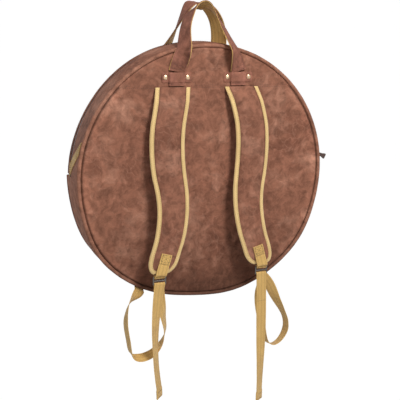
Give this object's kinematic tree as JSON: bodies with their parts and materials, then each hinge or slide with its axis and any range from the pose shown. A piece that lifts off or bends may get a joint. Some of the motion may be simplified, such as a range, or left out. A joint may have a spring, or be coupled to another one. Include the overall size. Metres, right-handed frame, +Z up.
{
  "type": "cymbal bag",
  "caption": "Round padded shoulder bag for cymbals, with a zipped lid, two carrying handles, two adjustable shoulder pads and a flat front pocket.",
  "frame": {"origin": "the grip: the middle of the underside of the two handles where they meet above the bag; the round body's centre is 0.386 m below it", "axes": "+Z up, +Y out of the front with the lid and pocket, -Y out of the back with the shoulder pads, +X to the right as seen from the back"},
  "size_m": [0.6514, 0.1975, 0.9458],
  "materials": {
    "brown_leather": "matte",
    "handle_leather": "matte",
    "tan_webbing": "matte",
    "tan_binding": "matte",
    "dark_lining": "matte",
    "foam_core": "matte",
    "copper_rivet": "polished",
    "dark_steel": "satin",
    "zip_tape": "matte",
    "dark_pull": "matte"
  },
  "bodies": {
    "bag": {"back_panel": "brown_leather", "back_yoke": "brown_leather", "back_foam": "foam_core", "back_lining": "dark_lining", "back_piping": "brown_leather", "gusset": "brown_leather", "gusset_padding": "dark_lining", "front_panel": "brown_leather", "front_foam": "foam_core", "front_lining": "dark_lining", "front_piping": "brown_leather", "rear_divider": "dark_lining", "front_divider": "dark_lining", "zip_body_side": "zip_tape", "left_end_tab": "tan_webbing", "right_end_tab": "tan_webbing", "pocket_panel": "brown_leather", "pocket_zip": "zip_tape", "back_left_tab": "handle_leather", "back_right_tab": "handle_leather", "back_left_outer_rivet": "copper_rivet", "back_left_inner_rivet": "copper_rivet", "back_right_outer_rivet": "copper_rivet", "back_right_inner_rivet": "copper_rivet", "left_strap_loop": "tan_webbing", "right_strap_loop": "tan_webbing"},
    "lid": {"lid_panel": "brown_leather", "lid_foam": "foam_core", "lid_lining": "dark_lining", "lid_piping": "brown_leather", "lid_gusset": "brown_leather", "zip_lid_side": "zip_tape", "front_left_tab": "handle_leather", "front_right_tab": "handle_leather", "front_left_outer_rivet": "copper_rivet", "front_left_inner_rivet": "copper_rivet", "front_right_outer_rivet": "copper_rivet", "front_right_inner_rivet": "copper_rivet"},
    "back_handle": {"back_handle_leather": "handle_leather", "back_handle_webbing": "tan_webbing"},
    "front_handle": {"front_handle_leather": "handle_leather", "front_handle_webbing": "tan_webbing"},
    "zip_slider": {"zip_slider": "dark_steel"},
    "zip_pull": {"zip_pull": "dark_pull"},
    "pocket_slider": {"pocket_slider": "dark_steel"},
    "pocket_pull": {"pocket_pull": "dark_pull"},
    "left_pad": {"left_pad_leather": "brown_leather", "left_pad_foam": "foam_core", "left_pad_underside": "dark_lining", "left_pad_binding": "tan_binding", "left_buckle_anchor": "tan_webbing"},
    "left_buckle": {"left_buckle": "dark_steel"},
    "left_tail": {"left_strap_tail": "tan_webbing"},
    "right_pad": {"right_pad_leather": "brown_leather", "right_pad_foam": "foam_core", "right_pad_underside": "dark_lining", "right_pad_binding": "tan_binding", "right_buckle_anchor": "tan_webbing"},
    "right_buckle": {"right_buckle": "dark_steel"},
    "right_tail": {"right_strap_tail": "tan_webbing"}
  },
  "joints": [
    {"name": "lid_hinge", "type": "hinge", "parent": "bag", "child": "lid", "pos_m": [0, 0.054, -0.386], "axis": [-1, 0, 0], "range_deg": [0, 120]},
    {"name": "back_handle_hinge", "type": "hinge", "parent": "bag", "child": "back_handle", "pos_m": [0, -0.056, -0.15], "axis": [1, 0, 0], "range_deg": [0, 90]},
    {"name": "front_handle_hinge", "type": "hinge", "parent": "lid", "child": "front_handle", "pos_m": [0, 0.056, -0.15], "axis": [-1, 0, 0], "range_deg": [0, 90]},
    {"name": "zip_slide", "type": "hinge", "parent": "bag", "child": "zip_slider", "pos_m": [0, 0.02, -0.386], "axis": [0, -1, 0], "range_deg": [0, 161]},
    {"name": "zip_pull_swing", "type": "hinge", "parent": "zip_slider", "child": "zip_pull", "pos_m": [0.29485, 0.02, -0.34456], "axis": [0, -1, 0], "range_deg": [0, 115]},
    {"name": "pocket_zip_slide", "type": "slide", "parent": "bag", "child": "pocket_slider", "axis": [-1, 0, 0], "range_m": [0, 0.41]},
    {"name": "pocket_pull_swing", "type": "hinge", "parent": "pocket_slider", "child": "pocket_pull", "pos_m": [0.2086, 0.0633, -0.418], "axis": [0, 1, 0], "range_deg": [0, 170]},
    {"name": "left_pad_hinge", "type": "hinge", "parent": "bag", "child": "left_pad", "pos_m": [0, -0.05622, -0.1845], "axis": [-1, 0, 0], "range_deg": [0, 44], "deforming": ["left_strap_loop"]},
    {"name": "left_buckle_hinge", "type": "hinge", "parent": "left_pad", "child": "left_buckle", "pos_m": [-0.125, -0.1034, -0.599], "axis": [-1, 0, 0], "range_deg": [-10, 80], "deforming": ["left_strap_loop"]},
    {"name": "left_tail_hinge", "type": "hinge", "parent": "left_buckle", "child": "left_tail", "pos_m": [-0.125, -0.1034, -0.615], "axis": [-1, 0, 0], "range_deg": [0, 60], "deforming": ["left_strap_loop"]},
    {"name": "right_pad_hinge", "type": "hinge", "parent": "bag", "child": "right_pad", "pos_m": [0, -0.05622, -0.1845], "axis": [-1, 0, 0], "range_deg": [0, 44], "deforming": ["right_strap_loop"]},
    {"name": "right_buckle_hinge", "type": "hinge", "parent": "right_pad", "child": "right_buckle", "pos_m": [0.125, -0.1034, -0.599], "axis": [-1, 0, 0], "range_deg": [-10, 80], "deforming": ["right_strap_loop"]},
    {"name": "right_tail_hinge", "type": "hinge", "parent": "right_buckle", "child": "right_tail", "pos_m": [0.125, -0.1034, -0.615], "axis": [-1, 0, 0], "range_deg": [0, 60], "deforming": ["right_strap_loop"]}
  ]
}
